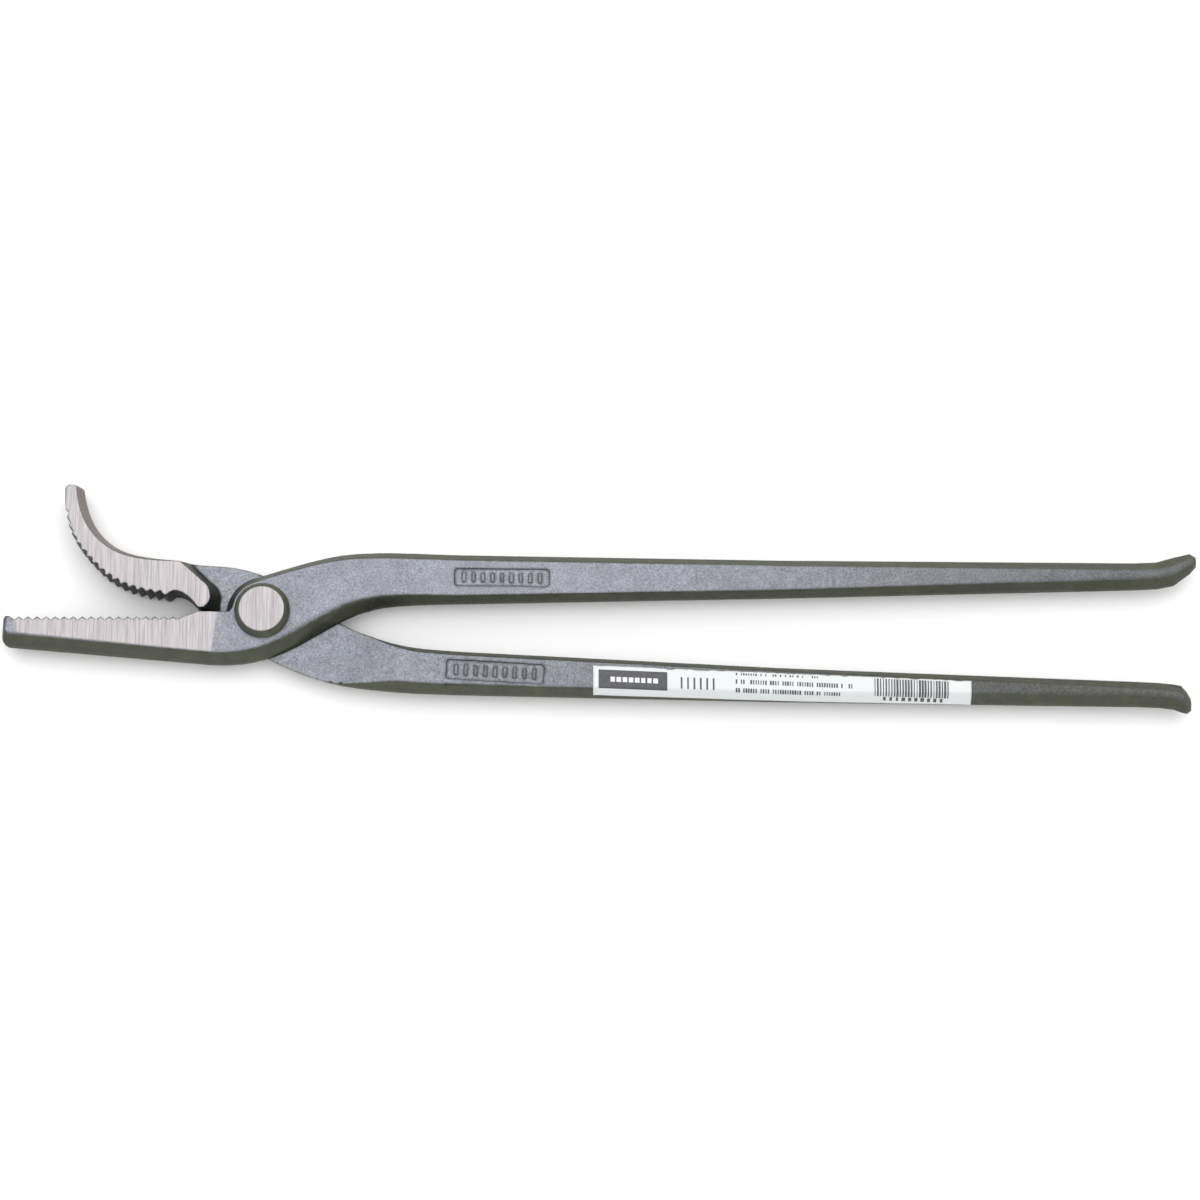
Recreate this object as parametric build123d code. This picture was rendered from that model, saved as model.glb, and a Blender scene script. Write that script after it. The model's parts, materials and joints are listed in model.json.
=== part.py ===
from build123d import *
import math
import os

# Hoof-nail clincher: two drop-forged arms that cross at a lap joint and turn on one rivet.
# The straight jaw arm lies in front at the joint and runs on into the upper handle. The curved
# jaw arm lies behind it and runs on into the lower handle, which carries a paper label.
# X runs along the tool towards the handle ends, Y across it in the plane that the jaws open in,
# and Z along the rivet. The origin is on the rivet's axis, at the flat tail that the tool rests
# on. Points in plan are measured from that axis, and heights in the sub-parts from the lap plane,
# where the two arms meet. The pose is the closed one, with the jaws' heels together.

# Forgings
HALF_THICKNESS = 4.75          # lap plane to the flat face of a jaw or boss
LAP_GAP = 0.12                 # clearance between the two lap faces
HEAD_END_X = 26.0              # plane where the jaw and boss end and the handle begins
BOSS_ROOT_RADIUS = 9.6         # round boss at the lap plane
BOSS_FACE_RADIUS = 7.5         # and at its flat face
FLANK = ((0, 0), (0.25, 0.08), (0.86, 0.76), (1, 1))
# Each FLANK pair is a share of the half thickness and the share of the draft lost by there.

# Teeth
STRAIGHT_TOOTH_COUNT = 19
STRAIGHT_TOOTH_PITCH = 2.3
STRAIGHT_TOOTH_DEPTH = 0.8
STRAIGHT_TOOTH_START = (-21.5, -1.45)      # mouth of the first notch, at the foot of the heel
CURVED_TOOTH_COUNT = 16
CURVED_TOOTH_DEPTH = 1.05
CURVED_TIP_TOOTH_DEPTH = 0.35  # the teeth run out towards the tip of the curved jaw
CURVED_TOOTH_START = 0.955     # place of the first notch, as a share of the crest line from the tip
CURVED_TOOTH_SPACING = 0.0545  # and the share between notches
CURVED_TOOTH_FADE = 2.2        # full depth is reached at one part in this many of the crest line
NOTCH_OVERRUN = 0.4            # how far a notch's cutter stands out of the jaw

# Rivet
SHANK_RADIUS = 3.95
BORE_RADIUS = 4.0
HEAD_BASE_RADIUS = 7.05
HEAD_TOP_RADIUS = 5.75
HEAD_HEIGHT = 2.8
TAIL_RADIUS = 5.6
TAIL_HEIGHT = 0.75
SEAT_GAP = 0.04                # between the rivet's shoulders and the bosses
HEAD_RIM = 0.5                 # height of the upright rim at the foot of the head
CROWN_DRAW_IN = 0.45           # how far the crown has drawn in at the height below
CROWN_MIDDLE = 1.8
TAIL_CHAMFER = 0.3

# Lap joint
STEP_WALL_RISE = 1.2           # the wall's cutter runs past the face by this share
RAMP_HEADING = 35.0            # degrees between X and the way the handle's ramp climbs
RAMP_CUTTER_WIDTH = 45.0       # half width of its cutter
RAMP_END_SLOPE = 0.12          # climb left where the ramp meets the handle's face
RAMP_START = 19.5              # distance of the ramp's foot from the rivet
RAMP_END = 39.0                # distance at which it has reached the handle's full thickness

# Stamped panels on the handles
PANEL_DEPTH = 0.35
PANEL_BAR_COUNT = 9
PANEL_BAR_WIDTH = 0.9
PANEL_BAR_SHARE = 0.55         # bar height over panel height
PANEL_BAR_RISE = 0.8           # bar rise over panel depth
PANEL_CORNER_RADIUS = 0.8
PANEL_FACE_HEIGHT = 4.16       # the handles' face at the panels, above the lap plane
STRAIGHT_ARM_PANEL = (60.8, 8.75, 24.1, 4.5, -0.7)     # centre x, y, length, height, tilt
CURVED_ARM_PANEL = (59.2, -15.6, 24.8, 5.0, -3.4)

# Label
LABEL_THICKNESS = 0.12
LABEL_GAP = 0.02
LABEL_START_X = 84.0
LABEL_END_X = 179.8
LABEL_TOP_Y = (-14.0, -18.0)   # its upper edge at the two ends
LABEL_LOWEST = (1.75, 0.45)    # its lower edge above the parting line at the two ends
LABEL_OUTSIDE_Y = -30.0        # clear of the handle on its outer side

LAP_HEIGHT = HALF_THICKNESS + SEAT_GAP + TAIL_HEIGHT


def on_circle(radius, degrees):
    """Point in plan at an angle round the rivet."""
    return (radius * math.cos(math.radians(degrees)), radius * math.sin(math.radians(degrees)))


def boss_arc(radius, first, last):
    """Start, middle and end of an arc round the rivet."""
    return [on_circle(radius, angle) for angle in (first, (first + last) / 2, last)]


def straight_head_outlines():
    """Parting-line and face outlines of the straight jaw and its boss, run by run."""
    parting = [
        [(-66.4, -1.3), (-66.55, -5.6)],
        [(-66.55, -5.6), (-66.0, -7.7), (-64.6, -8.7)],
        [(-64.6, -8.7), (-16.2, -12.95)],
        [(-16.2, -12.95), (-8.2, -13.3), (1.8, -11.5), (9.2, -8.2), (16.8, -3.8), (HEAD_END_X, 0.5)],
        [(HEAD_END_X, 0.5), (HEAD_END_X, 15.8)],
        [(HEAD_END_X, 15.8), (17.4, 14.9), (9.2, 12.85), (1.9, 10.6),
         on_circle(BOSS_ROOT_RADIUS, 110)],
        boss_arc(BOSS_ROOT_RADIUS, 110, 172),
        [on_circle(BOSS_ROOT_RADIUS, 172), (-9.9, -0.1)],
        [(-9.9, -0.1), (-16.7, -0.1)],
        [(-16.7, -0.1), (-20.4, -1.5)],
        [(-20.4, -1.5), (-66.4, -1.3)],
    ]
    face = [
        [(-65.1, -1.3), (-65.1, -4.6)],
        [(-65.1, -4.6), (-64.95, -5.1), (-64.4, -5.35)],
        [(-64.4, -5.35), (-15.7, -10.25)],
        [(-15.7, -10.25), (-8.4, -10.35), (0.3, -8.5), (7.1, -4.9), (15.4, -0.2), (HEAD_END_X, 3.6)],
        [(HEAD_END_X, 3.6), (HEAD_END_X, 13.45)],
        [(HEAD_END_X, 13.45), (18.2, 12.75), (10.2, 11.0), (3.0, 8.9),
         on_circle(BOSS_FACE_RADIUS, 110)],
        boss_arc(BOSS_FACE_RADIUS, 110, 172),
        [on_circle(BOSS_FACE_RADIUS, 172), (-8.2, -0.1)],
        [(-8.2, -0.1), (-16.7, -0.1)],
        [(-16.7, -0.1), (-20.4, -1.5)],
        [(-20.4, -1.5), (-65.1, -1.3)],
    ]
    return parting, face


CURVED_CREST = [(-51.0, 31.2), (-50.7, 26.5), (-49.65, 21.7), (-47.4, 17.2), (-44.1, 13.1),
                (-39.7, 9.0), (-34.4, 6.15), (-29.6, 4.8), (-24.35, 4.2)]


def curved_head_outlines():
    """Parting-line and face outlines of the curved jaw and its boss, run by run."""
    hollow = [(-24.35, 4.2), (-23.0, 5.3)]
    under_heel = [(-23.0, 5.3), (-20.3, 4.7), (-18.1, 3.0), (-16.2, 0.9)]
    tip_corner = [(-49.8, 33.0), (-50.75, 32.4), (-51.0, 31.2)]
    parting = [
        CURVED_CREST,
        hollow,
        under_heel,
        [(-16.2, 0.9), (-15.5, 0.15)],
        [(-15.5, 0.15), (-9.9, 0.15)],
        [(-9.9, 0.15), on_circle(BOSS_ROOT_RADIUS, 188)],
        boss_arc(BOSS_ROOT_RADIUS, 188, 246),
        [on_circle(BOSS_ROOT_RADIUS, 246), (-0.3, -10.8), (5.1, -13.6), (13.3, -16.8),
         (HEAD_END_X, -19.45)],
        [(HEAD_END_X, -19.45), (HEAD_END_X, -5.3)],
        [(HEAD_END_X, -5.3), (17.0, -0.6), (7.8, 6.1), (-1.5, 10.5), (-9.2, 12.3), (-16.0, 12.75),
         (-21.7, 13.75)],
        [(-21.7, 13.75), (-28.9, 14.5), (-37.7, 17.1), (-43.8, 23.2), (-46.0, 28.8), (-46.6, 31.7)],
        [(-46.6, 31.7), (-46.9, 32.6), (-47.7, 33.0)],
        [(-47.7, 33.0), (-49.8, 33.0)],
        tip_corner,
    ]
    face = [
        CURVED_CREST,
        hollow,
        under_heel,
        [(-16.2, 0.9), (-15.5, 0.95)],
        [(-15.5, 0.95), (-8.5, 0.95)],
        [(-8.5, 0.95), on_circle(BOSS_FACE_RADIUS, 188)],
        boss_arc(BOSS_FACE_RADIUS, 188, 246),
        [on_circle(BOSS_FACE_RADIUS, 246), (0.7, -9.1), (6.1, -11.8), (14.1, -14.85),
         (HEAD_END_X, -17.4)],
        [(HEAD_END_X, -17.4), (HEAD_END_X, -7.1)],
        [(HEAD_END_X, -7.1), (16.0, -2.4), (6.9, 4.5), (-2.1, 8.9), (-9.3, 10.8), (-16.0, 11.6),
         (-21.5, 12.8)],
        [(-21.5, 12.8), (-28.4, 13.15), (-37.9, 15.4), (-45.0, 21.8), (-47.7, 28.6), (-48.2, 32.2)],
        [(-48.2, 32.2), (-48.3, 32.6), (-48.6, 32.9)],
        [(-48.6, 32.9), (-49.8, 33.0)],
        tip_corner,
    ]
    return parting, face


# Handle stations: x, then at the parting line the lower and upper edge, then how far the flat
# face is drawn in from each of them, and the half thickness there. The first five are the curved
# root, the next two end the two straight stretches of the shank, and the rest are the flared end,
# which is hammered into flat facets.
ROOT_STATIONS = 5
SHANK_STATIONS = 3
STRAIGHT_ARM_STATIONS = (
    (HEAD_END_X, 0.5, 15.8, 3.1, 2.35, HALF_THICKNESS),
    (32, 1.75, 15.95, 2.6, 2.45, 4.63),
    (38, 2.25, 15.8, 2.2, 2.45, 4.43),
    (44, 2.5, 15.6, 1.85, 2.4, 4.26),
    (50, 2.6, 15.4, 1.65, 2.4, 4.2),
    (132, 4.1, 14.0, 1.6, 2.4, 3.95),
    (222, 6.2, 13.3, 2.7, 2.9, 3.5),
    (228, 6.5, 13.5, 2.8, 3.0, 3.5),
    (232.3, 7.3, 14.7, 3.1, 3.2, 3.35),
    (236.7, 10.5, 15.75, 2.0, 1.9, 2.5),
    (238.25, 12.3, 14.8, 0.9, 0.9, 1.4),
)
CURVED_ARM_STATIONS = (
    (HEAD_END_X, -19.45, -5.3, 2.05, 1.8, HALF_THICKNESS),
    (32, -20.1, -7.35, 2.4, 1.7, 4.63),
    (38, -20.55, -8.65, 2.5, 1.7, 4.43),
    (44, -20.8, -9.3, 2.4, 1.7, 4.26),
    (50, -21.0, -9.75, 2.3, 1.7, 4.2),
    (132, -22.8, -14.0, 2.2, 1.7, 3.95),
    (222, -24.05, -17.5, 2.9, 2.4, 3.5),
    (228, -24.3, -17.8, 2.9, 2.5, 3.5),
    (231.4, -24.75, -18.15, 3.0, 2.7, 3.4),
    (233.4, -25.5, -18.5, 2.9, 2.9, 3.1),
    (234.8, -25.8, -20.1, 2.3, 2.2, 2.5),
    (235.8, -25.0, -21.9, 1.2, 1.2, 1.4),
)


def flank_levels():
    """Signed height share and draft share of every level, from the back face to the front."""
    back = [(-height, drawn_in) for height, drawn_in in reversed(FLANK)]
    return back[:-1] + list(FLANK)


def edge_through(points):
    """A line, an arc or a spline, by the number of points."""
    if len(points) == 2:
        return Line(*points)
    if len(points) == 3:
        return ThreePointArc(*points)
    return Spline(*points)


def level_outline(parting, face, drawn_in, height):
    """The forging's closed outline at one height, part of the way from parting line to face."""
    edges = []
    for parting_run, face_run in zip(parting, face):
        points = []
        for (px, py), (fx, fy) in zip(parting_run, face_run):
            points.append((px + (fx - px) * drawn_in, py + (fy - py) * drawn_in, height))
        edges.append(edge_through(points))
    return make_face(edges)


def forged_head(parting, face):
    """Jaw and boss: outlines stacked from the back face through the parting line to the front."""
    levels = [level_outline(parting, face, drawn_in, share * HALF_THICKNESS)
              for share, drawn_in in flank_levels()]
    return loft(levels, ruled=True)


def handle_section(station, grow=0.0):
    """Cross-section of a handle at one station, grown all round by a small amount."""
    x, low, high, low_draft, high_draft, half = station
    low_side = []
    high_side = []
    for share, drawn_in in flank_levels():
        height = share * (half + grow)
        low_side.append((x, low - grow + low_draft * drawn_in, height))
        high_side.append((x, high + grow - high_draft * drawn_in, height))
    return make_face(Polyline(*low_side, *reversed(high_side), close=True))


def handle_shank(stations, grow=0.0):
    """The straight stretch of a handle, which the label is wrapped on."""
    shank = stations[ROOT_STATIONS - 1:ROOT_STATIONS - 1 + SHANK_STATIONS]
    return loft([handle_section(station, grow) for station in shank], ruled=True)


def forged_handle(stations):
    """Whole handle: smooth root, straight shank and faceted flared end."""
    root = loft([handle_section(station) for station in stations[:ROOT_STATIONS]])
    end_stations = stations[ROOT_STATIONS + SHANK_STATIONS - 2:]
    end = loft([handle_section(station) for station in end_stations], ruled=True)
    return root + handle_shank(stations) + end


def step_wall_cutter():
    """Clears the front of the curved jaw arm beside the other arm's boss, up to the step wall.

    The wall leans back from its foot to its brim, and its lower end turns round under the jaw's
    heel. The corners on the far side only have to lie outside both arms.
    """
    far_low = (14.0, -30.0)
    far_high = (14.0, 22.0)
    foot = [
        [far_low, far_high],
        [far_high, (-28.7, 22.0)],
        [(-28.7, 22.0), (-12.7, 7.3)],
        [(-12.7, 7.3), (-11.5, 5.7), (-11.2, 3.6)],
        [(-11.2, 3.6), (-11.2, 2.4), (-11.2, 1.2), (-11.2, -1.5)],
        [(-11.2, -1.5), (-11.2, -30.0)],
        [(-11.2, -30.0), far_low],
    ]
    brim = [
        [far_low, far_high],
        [far_high, (-31.8, 22.0)],
        [(-31.8, 22.0), (-15.6, 7.85)],
        [(-15.6, 7.85), (-14.0, 6.15), (-13.45, 3.9)],
        [(-13.45, 3.9), (-13.6, 2.7), (-14.4, 1.5), (-17.5, -1.5)],
        [(-17.5, -1.5), (-17.5, -30.0)],
        [(-17.5, -30.0), far_low],
    ]
    low = level_outline(foot, brim, 0, 0)
    high = level_outline(foot, brim, STEP_WALL_RISE, STEP_WALL_RISE * HALF_THICKNESS)
    floor = extrude(low, amount=-LAP_GAP / 2)
    return loft([low, high], ruled=True) + floor


def ramp_cutter():
    """Clears the front of the curved jaw arm's handle root, down to a ramp that climbs smoothly."""
    top = 2 * HALF_THICKNESS
    floor = -LAP_GAP / 2
    middle = (RAMP_START + RAMP_END) / 2
    climb = Spline((RAMP_START, floor), (middle, 0.5 * HALF_THICKNESS), (RAMP_END, HALF_THICKNESS),
                   tangents=((1, 0), (1, RAMP_END_SLOPE)))
    rim = Polyline((RAMP_END, HALF_THICKNESS), (RAMP_END, top), (-2, top), (-2, floor),
                   (RAMP_START, floor))
    profile = make_face([climb, rim])
    upright = Plane(origin=(0, 0, 0), x_dir=(1, 0, 0), z_dir=(0, -1, 0)) * profile
    return Rot(0, 0, -RAMP_HEADING) * extrude(upright, amount=RAMP_CUTTER_WIDTH, both=True)


def lap_cutter():
    """Everything that leaves the curved jaw arm's lap free for the other arm."""
    return step_wall_cutter() + ramp_cutter()


def notch(place, depth, pitch):
    """V-notch through the jaw, opening along the place's -Y side."""
    wide = pitch / 2
    flare = wide * (depth + NOTCH_OVERRUN) / depth
    outline = Polyline((-flare, -NOTCH_OVERRUN), (flare, -NOTCH_OVERRUN), (0, depth), close=True)
    return extrude(place * make_face(outline), amount=2 * HALF_THICKNESS, both=True)


def straight_teeth():
    """Notches along the straight jaw, from the foot of the heel ramp to the tip."""
    start_x, start_y = STRAIGHT_TOOTH_START
    cuts = []
    for index in range(STRAIGHT_TOOTH_COUNT):
        x = start_x - index * STRAIGHT_TOOTH_PITCH
        place = Plane(origin=(x, start_y, 0), x_dir=(-1, 0, 0), z_dir=(0, 0, 1))
        cuts.append(notch(place, STRAIGHT_TOOTH_DEPTH, STRAIGHT_TOOTH_PITCH))
    return cuts


def curved_teeth():
    """Notches square to the curved jaw's crest line, shallower towards the tip."""
    crest = Spline(*CURVED_CREST)
    pitch = CURVED_TOOTH_SPACING * crest.length
    cuts = []
    for index in range(CURVED_TOOTH_COUNT):
        share = CURVED_TOOTH_START - index * CURVED_TOOTH_SPACING
        point = crest @ share
        along = crest % share
        fade = min(1, share * CURVED_TOOTH_FADE)
        depth = CURVED_TIP_TOOTH_DEPTH + (CURVED_TOOTH_DEPTH - CURVED_TIP_TOOTH_DEPTH) * fade
        place = Plane(origin=(point.X, point.Y, 0), x_dir=(along.X, along.Y, 0), z_dir=(0, 0, 1))
        cuts.append(notch(place, depth, pitch))
    return cuts


def stamped_panel(panel):
    """Shallow sunk panel with a row of plain raised bars, as the cutter that makes it."""
    x, y, length, height, tilt = panel
    place = Pos(x, y, 0) * Rot(0, 0, tilt)
    floor = PANEL_FACE_HEIGHT - PANEL_DEPTH
    pitch = length / (PANEL_BAR_COUNT + 1)
    middle = (PANEL_BAR_COUNT - 1) / 2
    sunk = extrude(RectangleRounded(length, height, PANEL_CORNER_RADIUS), amount=HALF_THICKNESS)
    bars = [
        Pos((index - middle) * pitch, 0, 0)
        * Box(PANEL_BAR_WIDTH, height * PANEL_BAR_SHARE, 2 * PANEL_DEPTH * PANEL_BAR_RISE)
        for index in range(PANEL_BAR_COUNT)
    ]
    for bar in bars:
        sunk -= bar
    return place * Pos(0, 0, floor) * sunk


def rivet_bore():
    """Hole for the rivet, through the whole thickness."""
    return Cylinder(BORE_RADIUS, 4 * HALF_THICKNESS)


def straight_jaw_arm():
    """Front arm: straight toothed jaw, heel block, front boss and upper handle."""
    arm = forged_head(*straight_head_outlines()) + forged_handle(STRAIGHT_ARM_STATIONS)
    arm -= Rot(180, 0, 0) * lap_cutter()
    arm -= rivet_bore()
    arm -= straight_teeth()
    arm -= stamped_panel(STRAIGHT_ARM_PANEL)
    return arm


def curved_jaw_arm():
    """Back arm: curved toothed jaw, rear boss and lower handle."""
    arm = forged_head(*curved_head_outlines()) + forged_handle(CURVED_ARM_STATIONS)
    arm -= lap_cutter()
    arm -= rivet_bore()
    arm -= curved_teeth()
    arm -= stamped_panel(CURVED_ARM_PANEL)
    return arm


def pivot_rivet():
    """Rivet: crowned head with a flat ground top, shank, and a flat peened tail."""
    seat = HALF_THICKNESS + SEAT_GAP
    top = seat + HEAD_HEIGHT
    bottom = -seat - TAIL_HEIGHT
    rim = (HEAD_BASE_RADIUS, seat + HEAD_RIM)
    crown = ThreePointArc(rim, (HEAD_BASE_RADIUS - CROWN_DRAW_IN, seat + CROWN_MIDDLE),
                          (HEAD_TOP_RADIUS, top))
    body = Polyline((HEAD_TOP_RADIUS, top), (0, top), (0, bottom),
                    (TAIL_RADIUS - TAIL_CHAMFER, bottom), (TAIL_RADIUS, bottom + TAIL_CHAMFER),
                    (TAIL_RADIUS, -seat), (SHANK_RADIUS, -seat), (SHANK_RADIUS, seat),
                    (HEAD_BASE_RADIUS, seat), rim)
    upright = Plane.XZ * make_face([crown, body])
    return revolve(upright, Axis.Z)


def label():
    """Paper label wrapped over the lower handle's face and down its outer flank."""
    outer = handle_shank(CURVED_ARM_STATIONS, LABEL_GAP + LABEL_THICKNESS)
    inner = handle_shank(CURVED_ARM_STATIONS, LABEL_GAP)
    top = 2 * HALF_THICKNESS
    in_plan = Polyline((LABEL_START_X, LABEL_TOP_Y[0]), (LABEL_END_X, LABEL_TOP_Y[1]),
                       (LABEL_END_X, LABEL_OUTSIDE_Y), (LABEL_START_X, LABEL_OUTSIDE_Y), close=True)
    from_side = Polyline((LABEL_START_X, LABEL_LOWEST[0]), (LABEL_END_X, LABEL_LOWEST[1]),
                         (LABEL_END_X, top), (LABEL_START_X, top), close=True)
    upright = Plane(origin=(0, 0, 0), x_dir=(1, 0, 0), z_dir=(0, -1, 0)) * make_face(from_side)
    paper = outer & extrude(make_face(in_plan), amount=top)
    return (paper & extrude(upright, amount=-LABEL_OUTSIDE_Y)) - inner


def main():
    os.makedirs("parts", exist_ok=True)
    nodes = {
        "straight_jaw_arm": straight_jaw_arm(),
        "curved_jaw_arm": curved_jaw_arm(),
        "pivot_rivet": pivot_rivet(),
        "label": label(),
    }
    for name, shape in nodes.items():
        export_step(Pos(0, 0, LAP_HEIGHT) * shape, f"parts/{name}.step")


main()
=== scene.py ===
"""Hoof-nail clincher: forged and ground steel arms, a ground rivet and a paper label, on a pale stage."""

import json
import math

import bmesh
import bpy
import numpy as np
from bpy.props import FloatProperty, FloatVectorProperty, IntProperty, PointerProperty
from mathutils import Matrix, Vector, noise
from mathutils.bvhtree import BVHTree


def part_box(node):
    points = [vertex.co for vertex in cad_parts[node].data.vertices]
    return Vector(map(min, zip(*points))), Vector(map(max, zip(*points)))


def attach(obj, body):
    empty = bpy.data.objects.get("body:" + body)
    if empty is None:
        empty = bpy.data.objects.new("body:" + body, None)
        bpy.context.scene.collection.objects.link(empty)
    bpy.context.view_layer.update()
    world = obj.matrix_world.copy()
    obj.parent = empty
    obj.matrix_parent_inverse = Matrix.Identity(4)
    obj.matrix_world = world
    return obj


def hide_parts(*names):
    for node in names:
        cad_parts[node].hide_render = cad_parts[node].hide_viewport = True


bl_info = {
    "name": "Hoof-nail clincher",
    "version": (1, 0, 0),
    "blender": (4, 5, 0),
    "location": "View3D > Sidebar > Clincher",
    "description": "Finishes the forged arms, the rivet and the label of a hoof-nail clincher",
    "category": "Object",
}

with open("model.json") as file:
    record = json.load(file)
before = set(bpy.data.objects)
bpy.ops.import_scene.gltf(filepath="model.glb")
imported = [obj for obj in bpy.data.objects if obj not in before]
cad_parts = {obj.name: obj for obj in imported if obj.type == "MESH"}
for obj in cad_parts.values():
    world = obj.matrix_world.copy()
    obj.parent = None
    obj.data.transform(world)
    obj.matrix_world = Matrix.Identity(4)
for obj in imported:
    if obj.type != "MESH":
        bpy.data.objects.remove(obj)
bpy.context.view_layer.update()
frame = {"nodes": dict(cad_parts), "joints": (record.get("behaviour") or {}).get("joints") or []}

MM = 0.001
LAP = frame["joints"][0]["pos_m"][2]             # height of the plane where the arms meet
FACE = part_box("straight_jaw_arm")[1].z           # front face of the jaws and bosses
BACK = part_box("straight_jaw_arm")[0].z
RIVET_LOW, RIVET_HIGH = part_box("pivot_rivet")
LABEL_LOW, LABEL_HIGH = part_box("label")

WELD = 1e-6                                      # vertices nearer than this are one
MIN_NORMAL = 1e-12


# ---------------------------------------------------------------- settings

def length_prop(label, text, default, low=0.0, high=1.0):
    """A length that the sidebar shows in scene units."""
    return FloatProperty(name=label, description=text, default=default, min=low, max=high,
                         subtype="DISTANCE", unit="LENGTH", precision=5)


def colour_prop(label, text, default):
    """A linear colour that the sidebar shows as a swatch."""
    return FloatVectorProperty(name=label, description=text, default=default, min=0.0, max=1.0,
                               size=3, subtype="COLOR")


class SteelSettings(bpy.types.PropertyGroup):
    """Sizes and colours of the forged and ground steel."""

    grain: length_prop("Surface grain", "Spacing of the finished mesh", 0.365 * MM, 0.2 * MM, 2 * MM)
    pit_size: length_prop("Pit size", "Width of the pits that the forging scale leaves", 1.1 * MM)
    pit_depth: length_prop("Pit depth", "Depth of those pits", 0.045 * MM)
    line_pitch: length_prop("Grinding lines", "Spacing of the lines on ground faces", 0.28 * MM)
    rounding: IntProperty(name="Edge rounding", description="Rounds of smoothing on forged edges",
                          default=7, min=0, max=40)
    seed: IntProperty(name="Seed", description="Changes every random pattern on the steel", default=4)
    face_colour: colour_prop("Forged face", "Blasted face of the forgings", (0.250, 0.259, 0.292))
    end_colour: colour_prop("Handle end", "Face of the forgings at the handle ends", (0.086, 0.089, 0.082))
    # Painted shade: the drafted flanks are given a dark olive as sides that face away from the light.
    flank_shade_colour: colour_prop("Flank", "Olive oxide on the drafted flanks", (0.059, 0.064, 0.043))
    # Painted shade: the hollow colour darkens concave creases, steel that nearby steel shuts in, the
    # toothed sides, heel and blunt end, and the struck panels' edges.
    hollow_shade_colour: colour_prop("Hollow", "Dark oxide in corners and notches", (0.013, 0.016, 0.010))
    bare_colour: colour_prop("Inner curve", "Brown tempered steel inside the curved jaw",
                             (0.20, 0.17, 0.16))
    ground_colour: colour_prop("Ground face", "Bright steel on ground faces", (0.352, 0.337, 0.340))
    wear_colour: colour_prop("Worn edge", "Steel where an edge has rubbed bare", (0.40, 0.41, 0.42))


class LabelSettings(bpy.types.PropertyGroup):
    """Sizes and colours of the paper label and its print."""

    paper_colour: colour_prop("Paper", "Colour of the paper", (0.645, 0.668, 0.675))
    soil_colour: colour_prop("Soiled edge", "Colour of the paper's rubbed edges", (0.42, 0.43, 0.38))
    ink_colour: colour_prop("Ink", "Colour of the print", (0.055, 0.055, 0.06))
    thickness: length_prop("Paper thickness", "Thickness of the paper", 0.12 * MM, 0.02 * MM, 0.5 * MM)
    gap: length_prop("Glue gap", "Space between the steel and the paper", 0.02 * MM, 0.0, 0.2 * MM)
    ragged: length_prop("Ragged edge", "How far the upper edge is torn back", 0.16 * MM, 0.0, 1 * MM)
    ink_height: length_prop("Ink height", "How far the print stands off the paper", 0.012 * MM)
    seed: IntProperty(name="Seed", description="Changes the torn edge and the print", default=9)


class StageSettings(bpy.types.PropertyGroup):
    """Floor, lights and camera."""

    floor_colour: colour_prop("Floor", "Colour of the floor", (0.93, 0.93, 0.93))
    floor_size: length_prop("Floor size", "Width of the floor", 8.0, 1.0, 40.0)
    sky: FloatProperty(name="Sky strength", description="Even light from all round",
                       default=0.94, min=0.0, max=10.0)
    key_power: FloatProperty(name="Key light", description="Power of the large soft light overhead",
                             default=17.0, min=0.0, max=1000.0, unit="POWER")
    camera_distance: length_prop("Camera distance", "From the camera to the middle of the tool",
                                 0.9, 0.1, 5.0)
    camera_tilt: FloatProperty(name="Camera tilt", description="How far the camera leans from upright",
                               default=math.radians(11.5), subtype="ANGLE", unit="ROTATION")
    camera_lens: FloatProperty(name="Lens", description="Focal length of the camera, in millimetres",
                               default=105.7, min=10.0, max=400.0)


# ---------------------------------------------------------------- mesh helpers

def link(obj):
    """Puts a new object in the scene."""
    bpy.context.scene.collection.objects.link(obj)
    return obj


def plain_mesh(obj):
    """Applies every modifier: the object gets its evaluated mesh and keeps no modifier."""
    graph = bpy.context.evaluated_depsgraph_get()
    graph.update()
    mesh = bpy.data.meshes.new_from_object(obj.evaluated_get(graph), depsgraph=graph)
    obj.modifiers.clear()
    old = obj.data
    obj.data = mesh
    mesh.name = obj.name
    bpy.data.meshes.remove(old)
    return obj


def merged_copy(node, name):
    """New object with a CAD node's mesh, its loose triangles merged into one skin."""
    mesh = frame["nodes"][node].data.copy()
    mesh.materials.clear()
    work = bmesh.new()
    work.from_mesh(mesh)
    bmesh.ops.remove_doubles(work, verts=work.verts, dist=WELD)
    work.to_mesh(mesh)
    work.free()
    mesh.name = name
    return link(bpy.data.objects.new(name, mesh))


def faced_outward(mesh):
    """Turns a closed mesh's faces outwards."""
    work = bmesh.new()
    work.from_mesh(mesh)
    bmesh.ops.recalc_face_normals(work, faces=work.faces)
    work.to_mesh(mesh)
    work.free()
    return mesh


def cad_walls(node):
    """A CAD node's surface, to cast rays at."""
    mesh = frame["nodes"][node].data
    return BVHTree.FromPolygons([v.co.copy() for v in mesh.vertices],
                                [tuple(p.vertices) for p in mesh.polygons])


def points_of(mesh):
    """Vertex positions as an array."""
    flat = np.empty(len(mesh.vertices) * 3, np.float32)
    mesh.vertices.foreach_get("co", flat)
    return flat.reshape(-1, 3).astype(float)


def normals_of(mesh):
    """Vertex normals as an array."""
    flat = np.empty(len(mesh.vertices) * 3, np.float32)
    mesh.vertex_normals.foreach_get("vector", flat)
    return flat.reshape(-1, 3).astype(float)


def edges_of(mesh):
    """Vertex pairs of the edges as an array."""
    flat = np.empty(len(mesh.edges) * 2, np.int32)
    mesh.edges.foreach_get("vertices", flat)
    return flat.reshape(-1, 2)


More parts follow.
